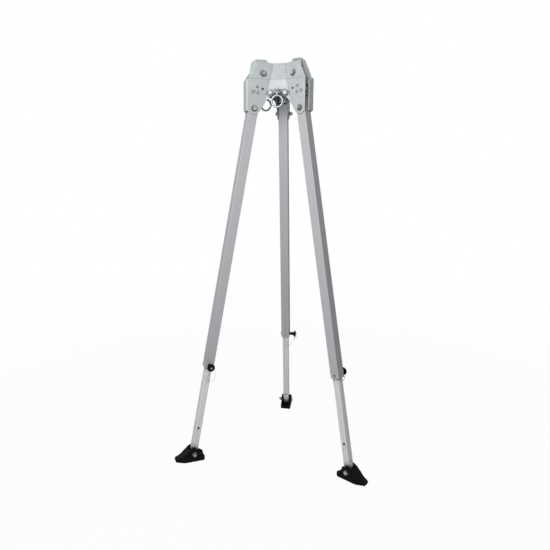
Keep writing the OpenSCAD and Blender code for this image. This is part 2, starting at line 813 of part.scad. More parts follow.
module leg_slider_left() { color("#2b2c2e") leg_slider(leg_left); }
module leg_slider_right() { color("#2b2c2e") leg_slider(leg_right); }
module leg_slider_rear() { color("#2b2c2e") leg_slider(leg_rear); }

// Feet

// Side view of the rubber shoe about its bolt, toe outwards
toe_end = 103;
shoe = [
  [-52, -foot_h], [-57, 8 - foot_h], [-56, -18], [-34, -4], [-18, 15], [-8, 28], [3, 32], [14, 29], [27, 21],
  [44, 5], [70, -14], [99, -21], [toe_end, -28], [98, 4 - foot_h], [64, -foot_h]
];
slot_gap = 0.6;
slot_down = 26;
slot_out = 27;
taper_from = 48;

module foot(turn) {
  on_foot(turn) difference() {
    across(-foot_w / 2, foot_w / 2) polygon(shoe);
    // Slot for the leg, open at the heel
    translate([-big, -inner_h - slot_gap, -slot_down]) cube([big + slot_out, inner_w + 2 * slot_gap, big]);
    // Taper towards the toe
    for (side = [0, 1]) mirror([0, side, 0]) translate([taper_from, foot_w / 2, -big])
      rotate([0, 0, -atan2(foot_w / 2 - toe_w / 2, toe_end - taper_from)]) cube([big, big, 2 * big]);
    along_y(foot_bolt_r, -foot_w, foot_w);
  }
}

module foot_left() { color("#17181a") foot(leg_left); }
module foot_right() { color("#17181a") foot(leg_right); }
module foot_rear() { color("#17181a") foot(leg_rear); }

module foot_bolt(turn) {
  on_foot(turn) {
    hex_bolt(foot_bolt_r, -foot_w / 2, foot_w / 2 + washer_t + foot_nut_t + foot_tail, foot_head, foot_hex_r);
    hex_nut(foot_bolt_r, foot_w / 2, foot_nut_t, foot_hex_r);
  }
}

module foot_bolt_left() { color("#d5d9dc") foot_bolt(leg_left); }
module foot_bolt_right() { color("#d5d9dc") foot_bolt(leg_right); }
module foot_bolt_rear() { color("#d5d9dc") foot_bolt(leg_rear); }

head_plate_front();
head_plate_right();
head_plate_left();
head_bolts();
head_nuts();
head_washers();
head_spacers();
pivot_bolts();
pivot_nuts();
leg_stops();
stop_rivets();
bracket_bolts();
anchor_bracket_front();
anchor_bracket_right();
anchor_bracket_left();
anchor_eye_front();
anchor_eye_right();
anchor_eye_left();
eye_nut_front();
eye_nut_right();
eye_nut_left();
outer_tube_left();
outer_tube_right();
outer_tube_rear();
pivot_bush_left();
pivot_bush_right();
pivot_bush_rear();
leg_guide_left();
leg_guide_right();
leg_guide_rear();
pin_collar_left();
pin_collar_right();
pin_collar_rear();
leg_screws_left();
leg_screws_right();
leg_screws_rear();
lock_pin_left();
lock_pin_right();
lock_pin_rear();
lock_knob_left();
lock_knob_right();
lock_knob_rear();
lanyard_ring_left();
lanyard_ring_right();
lanyard_ring_rear();
lanyard_left();
lanyard_right();
lanyard_rear();
inner_tube_left();
inner_tube_right();
inner_tube_rear();
leg_slider_left();
leg_slider_right();
leg_slider_rear();
foot_left();
foot_right();
foot_rear();
foot_bolt_left();
foot_bolt_right();
foot_bolt_rear();
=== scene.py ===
import json
from math import atan2, cos, pi, radians, sin

import bpy
from bpy.props import FloatProperty, FloatVectorProperty, IntProperty, PointerProperty
from bpy.types import Operator, Panel, PropertyGroup
from mathutils import Matrix, Vector


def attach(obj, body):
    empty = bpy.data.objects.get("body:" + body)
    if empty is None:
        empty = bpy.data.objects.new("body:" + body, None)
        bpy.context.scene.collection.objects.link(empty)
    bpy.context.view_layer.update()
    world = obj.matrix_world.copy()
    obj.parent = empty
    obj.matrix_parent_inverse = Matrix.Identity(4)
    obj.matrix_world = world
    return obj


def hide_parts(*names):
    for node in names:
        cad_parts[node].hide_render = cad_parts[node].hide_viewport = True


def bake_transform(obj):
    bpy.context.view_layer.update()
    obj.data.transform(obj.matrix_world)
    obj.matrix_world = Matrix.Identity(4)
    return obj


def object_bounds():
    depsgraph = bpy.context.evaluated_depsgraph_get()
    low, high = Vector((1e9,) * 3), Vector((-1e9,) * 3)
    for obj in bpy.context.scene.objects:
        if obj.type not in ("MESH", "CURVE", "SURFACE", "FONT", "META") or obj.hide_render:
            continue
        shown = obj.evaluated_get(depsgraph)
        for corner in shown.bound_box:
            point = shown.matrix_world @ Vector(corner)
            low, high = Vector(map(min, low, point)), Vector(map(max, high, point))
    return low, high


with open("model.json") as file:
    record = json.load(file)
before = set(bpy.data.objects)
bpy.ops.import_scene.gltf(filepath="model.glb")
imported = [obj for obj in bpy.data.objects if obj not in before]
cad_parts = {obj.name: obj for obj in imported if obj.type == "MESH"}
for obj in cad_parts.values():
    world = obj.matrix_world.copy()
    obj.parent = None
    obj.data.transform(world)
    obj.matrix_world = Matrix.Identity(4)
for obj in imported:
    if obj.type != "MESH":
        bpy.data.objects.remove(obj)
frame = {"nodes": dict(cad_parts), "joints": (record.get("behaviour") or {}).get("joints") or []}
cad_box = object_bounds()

bl_info = {
    "name": "Rescue tripod",
    "version": (1, 0, 0),
    "blender": (4, 5, 0),
    "location": "View3D > Sidebar > Tripod",
    "description": "Finishes a rescue tripod's frame and stands it in a plain studio",
    "category": "Object",
}

LEGS = ("left", "right", "rear")
PLATES = ("front", "right", "left")
MM = 0.001
# Points of a mesh that lie closer than this are one point
SAME_POINT = 0.01 * MM
# Faces that meet at more than this angle get a rounded edge
SHARP = radians(30)


def linear(code):
    """Turns an sRGB hex colour into the linear values that a shader takes."""
    parts = [int(code[i : i + 2], 16) / 255 for i in (1, 3, 5)]
    return tuple(c / 12.92 if c <= 0.04045 else ((c + 0.055) / 1.055) ** 2.4 for c in parts)


# Sizes, colours and stage


class TripodSizes(PropertyGroup):
    """Sizes of the small details that finish the frame"""

    plate_edge: FloatProperty(
        name="Plate edge", description="Rounding of the head plates' sheared edges",
        default=0.9 * MM, unit="LENGTH")
    crease_up: FloatProperty(
        name="Crease height", description="Height of the head plates' crease above the pivot bolts",
        default=146 * MM, unit="LENGTH")
    # The darker line along the crease is painted shade
    crease_line: FloatProperty(
        name="Crease line", description="Reach of the darker line to each side of the crease",
        default=4 * MM, unit="LENGTH")
    bolt_edge: FloatProperty(
        name="Bolt edge", description="Rounding of hexagon heads, nuts and washers",
        default=1.1 * MM, unit="LENGTH")
    tube_edge: FloatProperty(
        name="Tube edge", description="Rounding of the leg tubes' cut ends and holes",
        default=0.5 * MM, unit="LENGTH")
    knob_edge: FloatProperty(
        name="Knob edge", description="Rounding of the moulded knobs' edges",
        default=1.0 * MM, unit="LENGTH")
    eye_edge: FloatProperty(
        name="Eye edge", description="Rounding where an anchor eye's ring meets its collar",
        default=1.6 * MM, unit="LENGTH")
    shoe_grain: FloatProperty(
        name="Shoe grain", description="Mesh size that the rubber shoes' edges are rounded at",
        default=2.0 * MM, unit="LENGTH")
    shoe_rounding: IntProperty(
        name="Shoe rounding", description="How often the shoes' edges are smoothed", default=10)
    bolt_d: FloatProperty(
        name="Bolt diameter", description="Diameter of the pivot bolts and the foot bolts",
        default=12 * MM, unit="LENGTH")
    pivot_nut_face: FloatProperty(
        name="Pivot nut face", description="Distance of a pivot nut's outer face from the leg's middle",
        default=44.6 * MM, unit="LENGTH")
    pivot_bolt_end: FloatProperty(
        name="Pivot bolt end", description="Distance of a pivot bolt's end from the leg's middle",
        default=49.6 * MM, unit="LENGTH")
    foot_nut_face: FloatProperty(
        name="Foot nut face", description="Distance of a foot nut's outer face from the leg's middle",
        default=43.1 * MM, unit="LENGTH")
    foot_bolt_end: FloatProperty(
        name="Foot bolt end", description="Distance of a foot bolt's end from the leg's middle",
        default=47.6 * MM, unit="LENGTH")
    thread_pitch: FloatProperty(
        name="Thread pitch", description="Pitch of the threads on the bolts' ends",
        default=1.75 * MM, unit="LENGTH")
    thread_depth: FloatProperty(
        name="Thread depth", description="Height of the thread's ridge",
        default=0.45 * MM, unit="LENGTH")
    pin_drop: FloatProperty(
        name="Pin drop", description="Distance of a lock pin below the leg's pivot bolt",
        default=1.355, unit="LENGTH")
    wire_d: FloatProperty(
        name="Wire diameter", description="Diameter of the lanyards' wire rope",
        default=2.0 * MM, unit="LENGTH")
    strand_groove: FloatProperty(
        name="Strand groove", description="Depth of the grooves between the wire rope's strands",
        default=0.16 * MM, unit="LENGTH")
    wire_lay: FloatProperty(
        name="Wire lay", description="Length in which a strand of the wire rope turns once",
        default=13.0 * MM, unit="LENGTH")
    left_length: FloatProperty(
        name="Left lanyard", description="Length of the left leg's lanyard",
        default=0.206, unit="LENGTH")
    right_length: FloatProperty(
        name="Right lanyard", description="Length of the right leg's lanyard",
        default=0.2, unit="LENGTH")
    rear_length: FloatProperty(
        name="Rear lanyard", description="Length of the rear leg's lanyard",
        default=0.196, unit="LENGTH")
    ring_eye: FloatProperty(
        name="Ring eye", description="Radius of a lanyard's eye round the split ring's bar",
        default=2.3 * MM, unit="LENGTH")
    screw_eye: FloatProperty(
        name="Screw eye", description="Radius of a lanyard's eye round its screw",
        default=6.9 * MM, unit="LENGTH")
    sleeve_length: FloatProperty(
        name="Sleeve length", description="Length of the sleeves pressed on the lanyards' ends",
        default=13.0 * MM, unit="LENGTH")
    sleeve_w: FloatProperty(
        name="Sleeve width", description="Width of a pressed sleeve",
        default=4.2 * MM, unit="LENGTH")
    sleeve_flat: FloatProperty(
        name="Sleeve flatness", description="Thickness of a sleeve as a share of its width", default=0.72)
    sleeve_press: FloatProperty(
        name="Sleeve press", description="Depth of the pressed bands as a share of the width", default=0.12)
    sleeve_mouth: FloatProperty(
        name="Sleeve mouth", description="Width of the rounded ends as a share of the width", default=0.75)
    sleeve_turn: FloatProperty(
        name="Sleeve turn", description="Share of the length that an end's rounding takes", default=1 / 16)


class TripodColours(PropertyGroup):
    """Colours of the tripod's finishes"""

    plate: FloatVectorProperty(
        name="Head plates", description="Zinc-coated pressed sheet", subtype="COLOR",
        default=linear("#bdc2c3"))
    bracket: FloatVectorProperty(
        name="Brackets", description="Zinc-coated steel of the anchor brackets", subtype="COLOR",
        default=linear("#aaafb0"))
    stop: FloatVectorProperty(
        name="Leg stops", description="Bare machined steel of the stop blocks", subtype="COLOR",
        default=linear("#d0d4d5"))
    zinc: FloatVectorProperty(
        name="Fasteners", description="Zinc plate on bolts, nuts and pins", subtype="COLOR",
        default=linear("#b2b7ba"))
    eye: FloatVectorProperty(
        name="Anchor eyes", description="Polished forged steel", subtype="COLOR",
        default=linear("#7d8386"))
    outer: FloatVectorProperty(
        name="Outer tubes", description="Anodised aluminium of the outer legs", subtype="COLOR",
        default=linear("#bfc0c4"))
    inner: FloatVectorProperty(
        name="Inner tubes", description="Plain drawn aluminium of the inner legs", subtype="COLOR",
        default=linear("#efedea"))
    nylon: FloatVectorProperty(
        name="Nylon", description="Black of the knobs, guides and sliders", subtype="COLOR",
        default=linear("#0c0c0d"))
    rubber: FloatVectorProperty(
        name="Rubber", description="Black of the shoes", subtype="COLOR",
        default=linear("#0e0e0e"))
    wire: FloatVectorProperty(
        name="Wire", description="Stainless steel of the lanyards", subtype="COLOR",
        default=linear("#c2c4c4"))
    sleeve: FloatVectorProperty(
        name="Sleeves", description="Tinned copper of the pressed sleeves", subtype="COLOR",
        default=linear("#8d8f90"))
    floor: FloatVectorProperty(
        name="Floor", description="Grey of the floor, for the light that it throws up", subtype="COLOR",
        default=linear("#c4c4c4"))


class TripodStage(PropertyGroup):
    """Camera and light of the studio"""

    camera_place: FloatVectorProperty(
        name="Camera", description="Where the camera stands", subtype="XYZ", unit="LENGTH",
        default=(0.37475, -2.57915, 1.54419))
    heading: FloatProperty(
        name="Heading", description="Direction that the camera looks in, seen from above",
        default=radians(101.29), unit="ROTATION")
    pitch: FloatProperty(
        name="Pitch", description="How far the camera looks up", default=radians(-8.70), unit="ROTATION")
    roll: FloatProperty(
        name="Roll", description="Turn of the camera about its view", default=radians(0.22), unit="ROTATION")
    lens: FloatProperty(
        name="Lens", description="Focal length of the lens", default=31.77, unit="CAMERA")
    film_width: FloatProperty(
        name="Film width", description="Width of the picture behind the lens", default=36.0, unit="CAMERA")
    shift: FloatVectorProperty(
        name="Shift", description="Shift of the picture's centre, in frame widths", size=2,
        default=(0.04065, -0.04996))
    key: FloatProperty(
        name="Key light", description="Power of the broad light at the front",
        default=55.0, unit="POWER")
    key_place: FloatVectorProperty(
        name="Key place", description="Where the key light hangs", subtype="XYZ", unit="LENGTH",
        default=(-0.35, -2.25, 2.33))
    key_size: FloatProperty(
        name="Key size", description="Width of the key light", default=1.3, unit="LENGTH")
    back: FloatProperty(
        name="Back light", description="Power of the weaker light behind the tripod",
        default=40.0, unit="POWER")
    back_place: FloatVectorProperty(
        name="Back place", description="Where the back light hangs", subtype="XYZ", unit="LENGTH",
        default=(-1.4, 3.6, 2.6))
    back_size: FloatProperty(
        name="Back size", description="Width of the back light", default=2.2, unit="LENGTH")
    floor_half: FloatProperty(
        name="Floor", description="Distance of the floor's edges from its middle",
        default=30.0, unit="LENGTH")
    floor_white: FloatProperty(
        name="Floor white", description="Share of plain white in what the camera sees of the floor",
        default=0.97)
    floor_near: FloatProperty(
        name="Floor near", description="Distance where the floor starts to turn wholly white",
        default=1.5, unit="LENGTH")
    floor_far: FloatProperty(
        name="Floor far", description="Distance where the floor is wholly white",
        default=5.0, unit="LENGTH")
    daylight: FloatProperty(
        name="Daylight", description="Strength of the even light from all round", default=0.06)


# Nodes and materials


def add(tree, kind, fields=(), values=(), links=()):
    """Adds a node, sets its fields and its sockets' values, and links sockets to what feeds them."""
    made = tree.nodes.new(kind)
    for name, value in dict(fields).items():
        setattr(made, name, value)
    for name, value in dict(values).items():
        made.inputs[name].default_value = value
    for name, source in dict(links).items():
        tree.links.new(source, made.inputs[name])
    return made


def surface(name, **values):
    """Starts a material: its node tree, its shader and the piece's own coordinates."""
    made = bpy.data.materials.new(name)
    made.use_nodes = True
    tree = made.node_tree
    tree.nodes.clear()
    sockets = {socket.replace("_", " "): value for socket, value in values.items()}
    shader = add(tree, "ShaderNodeBsdfPrincipled", values=sockets)
    add(tree, "ShaderNodeOutputMaterial", links={"Surface": shader.outputs["BSDF"]})
    place = add(tree, "ShaderNodeTexCoord").outputs["Object"]
    return made, tree, shader, place


def per_metre(size_mm):
    """Scale of a pattern whose features are size_mm across."""
    return 1 / (size_mm * MM)


def shades(tree, shader, mask, colour, low, high, painted_shade=None):
    """Varies a colour between two brightnesses by a mask; a shade mask, where given, darkens it with painted
    shade in corners and gaps.
    """
    ramp = add(tree, "ShaderNodeValToRGB", links={"Fac": mask})
    for stop, share in zip(ramp.color_ramp.elements, (low, high)):
        stop.color = (*[c * share for c in colour], 1)
    shade = ramp.outputs["Color"]
    if painted_shade:
        shade = add(tree, "ShaderNodeVectorMath", fields={"operation": "SCALE"},
                    links={0: shade, "Scale": painted_shade}).outputs["Vector"]
    tree.links.new(shade, shader.inputs["Base Color"])


def sheen_range(tree, shader, mask, low, high):
    """Varies the shader's roughness between two values, by a mask."""
    spread = add(tree, "ShaderNodeMapRange", values={"To Min": low, "To Max": high}, links={"Value": mask})
    tree.links.new(spread.outputs["Result"], shader.inputs["Roughness"])


def relief(tree, shader, mask, height_mm, strength):
    """Raises the surface by a mask."""
    bump = add(tree, "ShaderNodeBump", values={"Strength": strength, "Distance": height_mm * MM},
               links={"Height": mask})
    tree.links.new(bump.outputs["Normal"], shader.inputs["Normal"])


def painted_shade_mask(tree, reach_mm, darkest):
    """A mask that falls from 1 in the open to darkest in corners and gaps: painted shade, from how closed in
    a spot is.
    """
    rays = 8
    steepness = 4.0
    # Ambient occlusion gives the painted shade, and the power keeps it close to the corner
    openness = add(tree, "ShaderNodeAmbientOcclusion", fields={"samples": rays},
                   values={"Distance": reach_mm * MM})
    steep = add(tree, "ShaderNodeMath", fields={"operation": "POWER"}, values={1: steepness},
                links={0: openness.outputs["AO"]})
    mask = add(tree, "ShaderNodeMapRange", values={"To Min": darkest}, links={"Value": steep.outputs[0]})
    return mask.outputs["Result"]


def mottle(tree, place, size_mm, detail=2):
    """Soft uneven spots about size_mm across."""
    noise = add(tree, "ShaderNodeTexNoise", values={"Scale": per_metre(size_mm), "Detail": detail},
                links={"Vector": place})
    return noise.outputs["Fac"]


def crease_shade(tree, place, crease_z, reach):
    """Painted shade along the crease: 0 away from the crease round the head, and below 0 on the crease
    itself.
    """
    darkening = 0.8
    height = add(tree, "ShaderNodeSeparateXYZ", links={"Vector": place}).outputs["Z"]
    above = add(tree, "ShaderNodeMath", fields={"operation": "SUBTRACT"}, values={1: crease_z},
                links={0: height})
    away = add(tree, "ShaderNodeMath", fields={"operation": "ABSOLUTE"}, links={0: above.outputs[0]})
    line = add(tree, "ShaderNodeMapRange", fields={"interpolation_type": "SMOOTHSTEP"},
               values={"From Max": reach, "To Min": -darkening, "To Max": 0.0},
               links={"Value": away.outputs[0]})
    return line.outputs["Result"]


def galvanised_sheet(colour, crease_z, crease_line):
    """Steel sheet, hot-dip zinc coated and then pressed."""
    # Dull pale grey. The zinc sets in flat crystals some millimetres across, which catch the light by turns
    made, tree, shader, place = surface("galvanised_sheet", Metallic=0.1)
    spangle = add(tree, "ShaderNodeTexVoronoi", values={"Scale": per_metre(9)}, links={"Vector": place})
    crystal_share = 0.25
    both = add(tree, "ShaderNodeMath", fields={"operation": "MULTIPLY_ADD"}, values={1: crystal_share},
               links={0: spangle.outputs["Color"], 2: mottle(tree, place, 40, 3)})
    # A darker line of painted shade runs along the crease, where the sheet bends
    mask = add(tree, "ShaderNodeMath", fields={"operation": "ADD"},
               links={0: both.outputs[0], 1: crease_shade(tree, place, crease_z, crease_line)})
    # Painted shade darkens the sheet in corners and gaps, round the bolts and where the plates meet
    shades(tree, shader, mask.outputs[0], colour, 0.8, 1.1, painted_shade_mask(tree, 12, 0.12))
    sheen_range(tree, shader, spangle.outputs["Color"], 0.5, 0.62)
    relief(tree, shader, mottle(tree, place, 1.2), 0.04, 0.35)
    return made


def zinc_coated_bracket(colour):
    """Thick steel, sawn and bent, zinc coated like the plates but with a coarser skin."""
    # A greyer and duller coat than the plates', in soft patches without crystals
    made, tree, shader, place = surface("zinc_coated_bracket", Metallic=0.1)
    skin = mottle(tree, place, 6, 4)
    # Painted shade darkens the bracket in corners and gaps, round its bolts and its eye
    shades(tree, shader, skin, colour, 0.85, 1.08, painted_shade_mask(tree, 12, 0.12))
    sheen_range(tree, shader, skin, 0.5, 0.65)
    relief(tree, shader, skin, 0.08, 0.3)
    return made


def machined_steel(colour):
    """Bare milled steel, dulled by handling."""
    # Pale and patchy metal in the open, with painted shade that turns it nearly black where the blocks meet
    # the plates
    made, tree, shader, place = surface("machined_steel", Metallic=0.8)
    dull = mottle(tree, place, 12, 5)
    shades(tree, shader, dull, colour, 0.75, 1.1, painted_shade_mask(tree, 14, 0.02))
    sheen_range(tree, shader, dull, 0.4, 0.6)
    return made


def bright_zinc_plate(colour):
    """Bolts, nuts and pins, turned or forged, zinc plated and then clouded by use."""
    # A satin grey with small soft highlights, ringed by a dark line of painted shade where a head meets the
    # plate
    made, tree, shader, place = surface("bright_zinc_plate", Metallic=0.2)
    cloud = mottle(tree, place, 5, 4)
    shades(tree, shader, cloud, colour, 0.82, 1.05, painted_shade_mask(tree, 10, 0.02))
    sheen_range(tree, shader, cloud, 0.4, 0.55)
    return made


def polished_forging(colour):
    """Anchor eyes, drop forged and then polished."""
    # A near mirror, with the shallow waves that polishing a forging leaves
    made, tree, shader, place = surface("polished_forging", Metallic=0.9)
    wave = mottle(tree, place, 8)
    shades(tree, shader, wave, colour, 0.9, 1.03)
    sheen_range(tree, shader, wave, 0.12, 0.22)
    relief(tree, shader, wave, 0.1, 0.2)
    return made


def drawn_lines(tree, place, leg, width_mm, length_mm):
    """Lines along a leg: a noise as wide as width_mm across the leg and length_mm along it."""
    along = add(tree, "ShaderNodeMapping", fields={"vector_type": "TEXTURE"},
                values={"Location": leg.pivot, "Rotation": leg.frame().to_euler(),
                        "Scale": (width_mm * MM, width_mm * MM, length_mm * MM)},
                links={"Vector": place})
    return add(tree, "ShaderNodeTexNoise", values={"Scale": 1.0, "Detail": 2},
               links={"Vector": along.outputs["Vector"]}).outputs["Fac"]


def anodised_aluminium(colour, leg):
    """Extruded square tube, anodised a satin grey."""
    # Extruding leaves fine lines along the tube, drawn here 1.5 mm wide so that they show
    made, tree, shader, place = surface(
        "anodised_aluminium_" + leg.name, Metallic=0.05, Specular_IOR_Level=0.1)
    lines = drawn_lines(tree, place, leg, 1.5, 300)
    shades(tree, shader, lines, colour, 0.9, 1.1)
    sheen_range(tree, shader, lines, 0.36, 0.48)
    relief(tree, shader, lines, 0.02, 0.25)
    return made


def drawn_aluminium(colour, leg):
    """Drawn square tube, left plain and rubbed bright by the guide that it slides in."""
    # Plain aluminium is lighter and warmer than the anodised tube, with longer and bolder lines, and painted
    # shade darkens it where the guide and the shoe close round it and inside its holes
    made, tree, shader, place = surface(
        "drawn_aluminium_" + leg.name, Metallic=0.15, Specular_IOR_Level=0.15)
    lines = drawn_lines(tree, place, leg, 7, 600)
    shades(tree, shader, lines, colour, 0.65, 1.3, painted_shade_mask(tree, 30, 0.05))
    sheen_range(tree, shader, lines, 0.28, 0.42)
    relief(tree, shader, lines, 0.02, 0.25)
    return made


def moulded_nylon(colour):
    """Black nylon, moulded in a spark-eroded tool."""
    # The tool leaves a fine even grain, drawn here 0.8 mm across so that it shows
    made, tree, shader, place = surface("moulded_nylon", IOR=1.53, Specular_IOR_Level=0.06)
    grain = mottle(tree, place, 0.8)
    shades(tree, shader, grain, colour, 0.8, 1.25)
    sheen_range(tree, shader, grain, 0.36, 0.5)
    relief(tree, shader, grain, 0.06, 0.4)
    return made


def moulded_rubber(colour):
    """Black rubber, moulded and matt, dusty in patches."""
    # Nearly black with a soft grainy skin, and no sharp highlight anywhere
    made, tree, shader, place = surface("moulded_rubber", IOR=1.52, Specular_IOR_Level=0.06)
    dust = mottle(tree, place, 22, 6)
    shades(tree, shader, dust, colour, 0.7, 1.5)
    sheen_range(tree, shader, dust, 0.5, 0.78)
    relief(tree, shader, mottle(tree, place, 1.0), 0.1, 0.4)
    return made


def stainless_wire(colour):
    """Wire rope of fine drawn stainless wires."""
    # Each strand's wires catch the light as a fine grain, drawn here 0.4 mm wide
    made, tree, shader, place = surface("stainless_wire", Metallic=0.85)
    wires = mottle(tree, place, 0.4)
    shades(tree, shader, wires, colour, 0.8, 1.1)
    sheen_range(tree, shader, wires, 0.25, 0.4)
    return made


def tinned_copper(colour):
    """Oval copper sleeve, tinned, pressed on in a hand tool."""
    # A soft grey metal, patchy where the tool's jaws rubbed it
    made, tree, shader, place = surface("tinned_copper", Metallic=0.9)
    marks = mottle(tree, place, 2, 4)
    shades(tree, shader, marks, colour, 0.75, 1.1)
    sheen_range(tree, shader, marks, 0.3, 0.5)
    return made


def seen_directly(tree):
    """1 for what the camera sees, straight or in a reflection, and 0 for rays that only carry light."""
    rays = add(tree, "ShaderNodeLightPath").outputs
    seen = add(tree, "ShaderNodeMath", fields={"operation": "MAXIMUM"},
               links={0: rays["Is Camera Ray"], 1: rays["Is Glossy Ray"]})
    return add(tree, "ShaderNodeMath", fields={"operation": "MAXIMUM"},
               links={0: seen.outputs[0], 1: rays["Is Transmission Ray"]}).outputs[0]


def pale_floor(colour, stage):
    """Seamless white studio floor."""
    # The camera sees it nearly white, with the tripod's shadow faint on it. Its grey is for the light
    # that it throws up at the tripod
    made, tree, shader, place = surface("pale_floor", Base_Color=(*colour, 1), Roughness=0.9)
    # Some metres out it turns wholly white, where it meets the white beyond it
    far = add(tree, "ShaderNodeVectorMath", fields={"operation": "LENGTH"}, links={0: place})
    reach = {"From Min": stage.floor_near, "From Max": stage.floor_far, "To Min": stage.floor_white}
    share = add(tree, "ShaderNodeMapRange", values=reach, links={"Value": far.outputs["Value"]})
    glow = add(tree, "ShaderNodeMath", fields={"operation": "MULTIPLY"},
               links={0: seen_directly(tree), 1: share.outputs["Result"]})
    white = add(tree, "ShaderNodeEmission", values={"Color": (1, 1, 1, 1)})
    mixed = add(tree, "ShaderNodeMixShader",
                links={0: glow.outputs[0], 1: shader.outputs[0], 2: white.outputs[0]})
    tree.links.new(mixed.outputs[0], tree.nodes["Material Output"].inputs["Surface"])
    return made


# Shapes


class Leg:
    """One leg's place in the frame: its pivot bolt, its foot bolt and its directions."""

    def __init__(self, name):
        joints = {j["name"]: j for j in frame["joints"]}
        self.name = name
        self.pivot = Vector(joints["leg_fold_" + name]["pos_m"])
        self.foot = Vector(joints["foot_tilt_" + name]["pos_m"])
        self.up = (self.pivot - self.foot).normalized()
        self.knob = Vector(joints["pin_slide_" + name]["axis"]).normalized()
        outwards = Vector((self.pivot.x, self.pivot.y, 0))
        self.out = (outwards - outwards.dot(self.up) * self.up).normalized()
        self.across = self.up.cross(self.out)

    def frame(self):
        """Turns X outwards and Z up the leg."""
        return Matrix((self.out, self.across, self.up)).transposed()

    def at_pin(self, point_mm, pin_drop):
        """A point that is given outwards, to the knob's side and up from the lock pin, in millimetres."""
        x, y, z = [c * MM for c in point_mm]
        return self.pivot - pin_drop * self.up + x * self.out + y * self.knob + z * self.up


def spline_point(points, u):
    """A point on the smooth curve through the points, u counting from one point to the next."""
    i = min(int(u), len(points) - 2)
    t = u - i
    a, b, c = points[max(i - 1, 0)], points[i], points[i + 1]
    d = points[min(i + 2, len(points) - 1)]
    return 0.5 * (2 * b + (c - a) * t + (2 * a - 5 * b + 4 * c - d) * t**2 + (3 * b - a - 3 * c + d) * t**3)


def smooth_line(points, count):
    """That curve as count points."""
    return [spline_point(points, k * (len(points) - 1) / (count - 1)) for k in range(count)]


def mesh_piece(name, points, faces, material, slot):
    """A new smooth-shaded piece with its material; the slot argument is not used."""
    mesh = bpy.data.meshes.new(name)
    mesh.from_pydata([tuple(p) for p in points], [], faces)
    mesh.validate()
    mesh.shade_smooth()
    mesh.materials.append(material)
    piece = bpy.data.objects.new(name, mesh)
    bpy.context.scene.collection.objects.link(piece)
    return piece


def swept(line, sides, section):
    """Points and faces of a tube along a line; section(k, angle, length so far) gives its radius."""
    points, faces = [], []
    side = (line[1] - line[0]).orthogonal()
    run = 0.0
    for k, at in enumerate(line):
        heading = (line[min(k + 1, len(line) - 1)] - line[max(k - 1, 0)]).normalized()
        side = (side - side.dot(heading) * heading).normalized()
        other = heading.cross(side)
        run += (at - line[k - 1]).length if k else 0.0
        for j in range(sides):
            turn = 2 * pi * j / sides
            points.append(at + section(k, turn, run) * (cos(turn) * side + sin(turn) * other))
    for k in range(len(line) - 1):
        for j in range(sides):
            near, far = k * sides + j, k * sides + (j + 1) % sides
            faces.append((near, far, far + sides, near + sides))
    faces.append(tuple(range(sides - 1, -1, -1)))
    faces.append(tuple(range(len(points) - sides, len(points))))
    return points, faces


def set_out(line, distance):
    """The point that lies that far from a line's start, in the direction that it sets out in."""
    few_points_on = line[4]
    return line[0] + distance * (few_points_on - line[0]).normalized()


def thread(name, start, end, sizes, body):
    """Threaded skin on a bolt's end that stands out of its nut."""
    rings = 24
    sides = 32
    # Share of the ridge's height by which the skin clears the plain bolt in the thread's root
    clear = 0.05
    line = [start.lerp(end, k / rings) for k in range(rings + 1)]

    def ridge(_k, turn, run):
        share = (run / sizes.thread_pitch - turn / (2 * pi)) % 1
        return sizes.bolt_d / 2 + sizes.thread_depth * (clear + 1 - abs(2 * share - 1))

    zinc = bpy.data.materials["bright_zinc_plate"]
    piece = mesh_piece(name, *swept(line, sides, ridge), zinc, "zinc_fasteners")
    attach(piece, body)


def soften(name, material, width, segments=2):
    """Finishes a CAD node: rounds its edges and gives it its material."""
    piece = frame["nodes"][name]
    weld = piece.modifiers.new("Weld", "WELD")
    weld.merge_threshold = SAME_POINT
    edge = piece.modifiers.new("Edge", "BEVEL")
    edge.width = width
    edge.segments = segments
    edge.limit_method = "ANGLE"
    edge.angle_limit = SHARP
    edge.harden_normals = True
    dress(name, material)


def dress(name, material):
    """Gives a CAD node its material."""
    piece = frame["nodes"][name]
    piece.data.materials.clear()
    piece.data.materials.append(material)


# Operators


